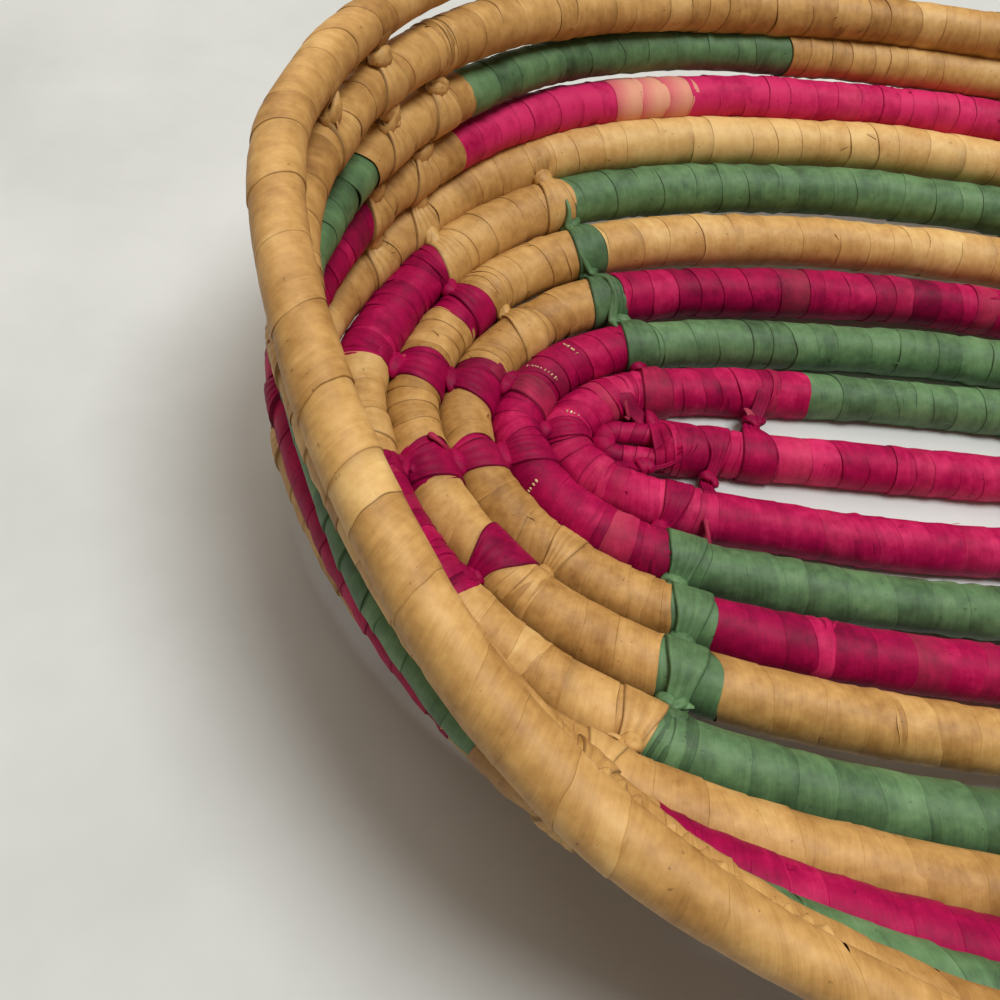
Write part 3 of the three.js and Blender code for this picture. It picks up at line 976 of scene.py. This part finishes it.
def add_tail(sheet, outer, inner, random):
    """A loose end of strip that stands out of a knot."""
    long, wide = sizes_between(TAIL_SIZES, random)
    _, across, ahead, upward, crossing, neck = tie_places(outer, inner)
    turned = random.uniform(0, TURN)
    away = math.cos(turned) * ahead + math.sin(turned) * across
    beside = -math.sin(turned) * ahead + math.cos(turned) * across
    place = even_rows(0, 1, 10)
    share = np.linspace(-1, 1, 5)
    rise = neck + 0.6 + 1.7 * np.sin(place * 2.2) * random.uniform(0.4, 1.0)
    half = wide / 2 * (1 - 0.75 * place ** 2)
    line = (crossing + upward * rise + away * (place * long))[:, None, :]
    grid = line + (share * half)[..., None] * beside + (0.25 * (1 - share ** 2) * half)[..., None] * upward
    grain = (place * long, share * half, own_grain(random))
    sheet.add(grid, 0.7, 0.2, np.abs(share) ** 6 * 0.5, grain, False)


def build_ties():
    for index, (outer, inner, colour, width, kept) in enumerate(all_ties()):
        random = draws("ties", index)
        shade = random.uniform(*TIE_SHADES[colour])
        sheet = Sheet()
        add_tie(sheet, outer, inner, width, kept, shade, random)
        add_neck_band(sheet, outer, inner, width, kept, shade, random)
        if random.uniform() < TAIL_SHARE:
            add_tail(sheet, outer, inner, random)
        sheet.make(f"tie_{index + 1:03d}_{colour}", colour)


# Loose bits: strands, torn edges and dots of core fibre.
def add_thread(sheet, places, thick, random):
    """A loose, twisted strand of leaf through places above the wrap."""
    knots = np.array([coil.surface(coil.length_at(true_turns(row, share)), angle, height)
                      for row, share, angle, height in places])
    last = len(knots) - 1
    steps = np.linspace(0, last, 10 * len(knots))
    line = softened(between(steps, np.arange(len(knots)), knots), 4)
    ahead = unit(np.gradient(line, axis=0))
    side = unit(np.cross(ahead, (0.3, -0.5, 0.81)))
    angle = round_angles(10)
    twist = even_rows(0, random.uniform(3, 6), len(line))
    taper = column(*np.clip(np.minimum(steps + 0.35, last - steps + 0.25) * 1.6, 0.2, 1))
    lobes = np.cos(2 * (angle - twist))
    reach = (thick / 2 * taper * (1 + 0.35 * lobes))[..., None]
    around = direction(angle, side[:, None, :], np.cross(side, ahead)[:, None, :])
    points = line[:, None, :] + reach * around
    grain = (column(*steps) * 3, angle[::-1] * thick, 4.0)
    # Painted shade in the grooves of the twist.
    sheet.add(points[:, ::-1], 0.55, 0.1, np.clip(-0.35 * lobes, 0, 1), grain, True)


def build_strands():
    for index, (colour, thick, places) in enumerate(STRANDS):
        sheet = Sheet()
        add_thread(sheet, places, thick, draws("strands", index))
        sheet.make(f"strand_{index + 1}_{colour}", colour)


def add_torn_edge(sheet, row, share, angle, long, wide, random):
    """A wavy, torn edge of leaf along the coil."""
    along = even_rows(-long / 2, long / 2, 48)
    out = np.linspace(0, 1, 6)
    length = coil.length_at(true_turns(row, share)) + along + 0 * out
    _, outward, upward, _ = coil.frame(length)
    ragged = 0.75
    for size, count in ((0.25, 1.9), (0.2, 4.7)):
        ragged = ragged + size * np.sin(count * along + random.uniform(0, TURN))
    reach = wide * out * ragged * (1 - np.abs(2 * along / long) ** 3)
    wave = 0.45 * out * np.sin(2.6 * along + random.uniform(0, TURN)) + 0.3 * out
    beside = direction(angle + TURN / 4, outward, upward)
    points = coil.surface(length, angle, 0.05 + wave) + reach[..., None] * beside
    grain = (out * wide, along, own_grain(random))
    sheet.add(points, random.uniform(0.5, 0.8), 0, 0.5 * out ** 6, grain, False)


def build_torn_edges():
    random = draws("torn_edges")
    sheet = Sheet()
    for edge in TORN_EDGES:
        add_torn_edge(sheet, *edge, random)
    sheet.make("torn_edges_natural", "natural")


def build_dotted_seams():
    """Small humps of core fibre in a row along a seam."""
    random = draws("dots")
    sheet = Sheet()
    tilt, around = even_rows(0, math.pi, 6), round_angles(8)
    for row, share, first, last in DOTTED_SEAMS:
        length = coil.length_at(true_turns(row, share))
        angle = first
        while angle < last:
            middle, outward, upward, ahead = coil.frame(length - STRIP_TILT * math.cos(angle))
            out = math.cos(angle) * outward + math.sin(angle) * upward
            place = middle + (coil.full_radius(length) + 0.12) * out
            wide, long, high = sizes_between(DOT_SIZES, random)
            level = direction(around, wide * np.cross(ahead, out), long * ahead)
            hump = place + np.sin(tilt)[..., None] * level + (high * np.cos(tilt))[..., None] * out
            sheet.add(hump[:, ::-1], 0.5, 0, 0, random.uniform(0, 50, 3), True)
            angle += random.uniform(*DOT_TURNS)
    sheet.make("dotted_core_fibres", "core", material=core_material("core_dots", 0.12))


def build_core():
    """The fibre core, which shows where strips part."""
    sheet = Sheet()
    first, last = coil.length_at(CORE_START), coil.length_at(RIM_WRAP_END)
    add_tube(sheet, first, last, 2.5, 20, -CORE_DEPTH, 5, 0.5, 0)
    sheet.make("coil_core_fibres", "core", "coil_core", material=core_material("core_fibre", 0.3))


def build_rim_end():
    """The rim's tapered end."""
    sheet = Sheet()
    wind(sheet, RIM_WRAP_END, RIM_TIP_TURN - 0.004, draws("rim_end"), "natural")
    sheet.make("rim_tapered_end_strips", "natural", "rim_tapered_end")


# Start eye.
def eye_line(start):
    """The eye's middle line, along one leg, round the bend and back."""
    bend = (EYE_HOLE + EYE_DIAMETER) / 2
    angle = np.linspace(math.pi / 2, 3 * math.pi / 2, 60)
    x = np.concatenate([[EYE_TUCK], bend * np.cos(angle) - EYE_LEG, [EYE_TUCK]])
    y = np.concatenate([[bend], bend * np.sin(angle), [-bend]])
    line = np.stack([start[0] + x, y, np.full(len(x), start[2])], -1)
    lengths = lengths_of(line)
    fine = np.linspace(0, lengths[-1], 400)
    return fine, between(fine, lengths, line)


def add_eye_strip(sheet, begin, end, lengths, line, random):
    """One turn of strip round the eye."""
    ahead = unit(np.gradient(line, lengths, axis=0))
    angle = round_angles(28)
    ends = column(0, 0, 0.3, 0.5 * (end - begin), end - begin + 0.5)
    length = begin + ends + random.normal(0.6, 0.25) * np.cos(angle)
    outward = level_outward(between(length, lengths, ahead))
    full = EYE_DIAMETER / 2 - 0.2 + STRIP_THICKNESS * column(0.0, 1.0, 1.0, 0.6, -0.4)
    around = direction(angle, outward, np.array([0, 0, 1.0]))
    grain = (angle * 2.6, ends, own_grain(random))
    # Painted shade along the seam at the strip's free edge.
    edge = column(1.0, 0.75, 0.0, 0.0, 0.3)
    points = between(length, lengths, line) + full[..., None] * around
    sheet.add(points, random.uniform(0.2, 1), 0, edge, grain, True)


def add_collar(sheet, start, random):
    """Turns of strip that bind the eye's two legs to the end of the core."""
    angle = round_angles(ROUND_NECK)
    c, s = np.cos(angle), np.sin(angle)
    cuts = np.linspace(-COLLAR_REACH, 2.5, 5)
    rod = WRAPPED_ROD / 2 + 0.7
    for a, b in pairwise(cuts):
        place = column(a, a, a + 0.2, (a + b) / 2, b + 0.7) - random.normal(0.9, 0.3) * c
        crown = STRIP_THICKNESS * column(-1.5, 1.0, 1.0, 0.6, -0.5)
        share = ease((place + COLLAR_REACH) / (COLLAR_REACH - 0.6))
        wide = (EYE_HOLE / 2 + EYE_DIAMETER + 0.2) * (1 - share) + rod * share + crown
        tall = (EYE_DIAMETER / 2 + 0.35) * (1 - share) + rod * share + crown
        power = 0.78 + 0.22 * share
        y = wide * np.sign(c) * np.abs(c) ** power
        z = tall * np.sign(s) * np.abs(s) ** power
        grain = (angle * 5, place, own_grain(random))
        # Painted shade along each turn's seam.
        edge = column(0.8, 0.5, 0.0, 0.0, 0.3) * random.uniform(0.2, 0.9)
        sheet.add(start + np.stack([place, y, z], -1), random.uniform(0.3, 0.8), 0, edge, grain, True)


def build_eye():
    start = centre(CORE_START)
    lengths, line = eye_line(start)
    random = draws("eye")
    sheet = Sheet()
    cuts = np.linspace(0, lengths[-1], round(lengths[-1] / EYE_STRIP_PITCH) + 1)
    for begin, end in pairwise(cuts):
        add_eye_strip(sheet, begin, end, lengths, line, random)
    add_collar(sheet, start, random)
    sheet.make("start_eye_strips", "magenta", "start_eye")


build_core()
build_wraps()
build_ties()
build_rim_end()
build_eye()
build_strands()
build_torn_edges()
build_dotted_seams()


# Table, light and camera.
def build_table():
    size = 3.0
    mesh = bpy.data.meshes.new("table_top")
    corners = [(-size, -size, 0), (size, -size, 0), (size, size, 0), (-size, size, 0)]
    mesh.from_pydata(corners, [], [(0, 1, 2, 3)])
    mesh.materials.append(table_material())
    add_object("table_top", mesh)


# The room's light, and lamps as place, target, width, power and colour, in metres and watts.
ROOM_LIGHT = {"Color": (1, 0.80, 0.67, 1), "Strength": 0.22}
LAMPS = {
    "key_light": ((0.26, -0.06, 1.2), (-0.05, 0, 0), 0.55, 12.2, (0.98, 0.99, 1)),
    "fill_light": ((-0.35, 0.6, 0.95), (-0.1, 0.1, 0), 1.2, 5.5, (1, 0.93, 0.86)),
}


def build_light():
    world = bpy.data.worlds.new("soft_room")
    world.use_nodes = True
    fill(world.node_tree, world.node_tree.nodes["Background"], ROOM_LIGHT)
    bpy.context.scene.world = world
    for name, (place, target, width, power, colour) in LAMPS.items():
        data = bpy.data.lights.new(name, "AREA")
        data.shape = "DISK"
        data.size, data.energy, data.color = width, power, colour
        lamp = add_object(name, data)
        lamp.location = place
        lamp.rotation_euler = (Vector(target) - Vector(place)).to_track_quat("-Z", "Y").to_euler()


# Camera, in radians and millimetres, from a fit of the coil's rows to the photograph.
CAMERA_TURN = 0.125
CAMERA_TILT = 0.980
CAMERA_ROLL = 0.189
CAMERA_DISTANCE = 195.3
CAMERA_TARGET = (-106.7, -22.9, BASE_LEVEL)
CAMERA_SHIFT = (0.0005, 0.017)
FOCAL_LENGTH = 32.4
SENSOR = 36


def build_camera():
    level = math.cos(CAMERA_TILT)
    back = Vector((-math.sin(CAMERA_TURN) * level, -math.cos(CAMERA_TURN) * level, math.sin(CAMERA_TILT)))
    right = Vector((math.cos(CAMERA_TURN), -math.sin(CAMERA_TURN), 0))
    up = right.cross(-back)
    x = math.cos(CAMERA_ROLL) * right + math.sin(CAMERA_ROLL) * up
    y = -math.sin(CAMERA_ROLL) * right + math.cos(CAMERA_ROLL) * up
    data = bpy.data.cameras.new("view")
    data.lens = FOCAL_LENGTH
    data.sensor_width = SENSOR
    data.shift_x, data.shift_y = CAMERA_SHIFT
    data.clip_start = 0.01
    camera = add_object("view", data)
    place = (Vector(CAMERA_TARGET) + back * CAMERA_DISTANCE) * MM
    camera.matrix_world = Matrix.Translation(place) @ Matrix((x, y, back)).transposed().to_4x4()
    bpy.context.scene.camera = camera


build_table()
build_light()
build_camera()
bpy.context.scene.view_settings.view_transform = "Standard"
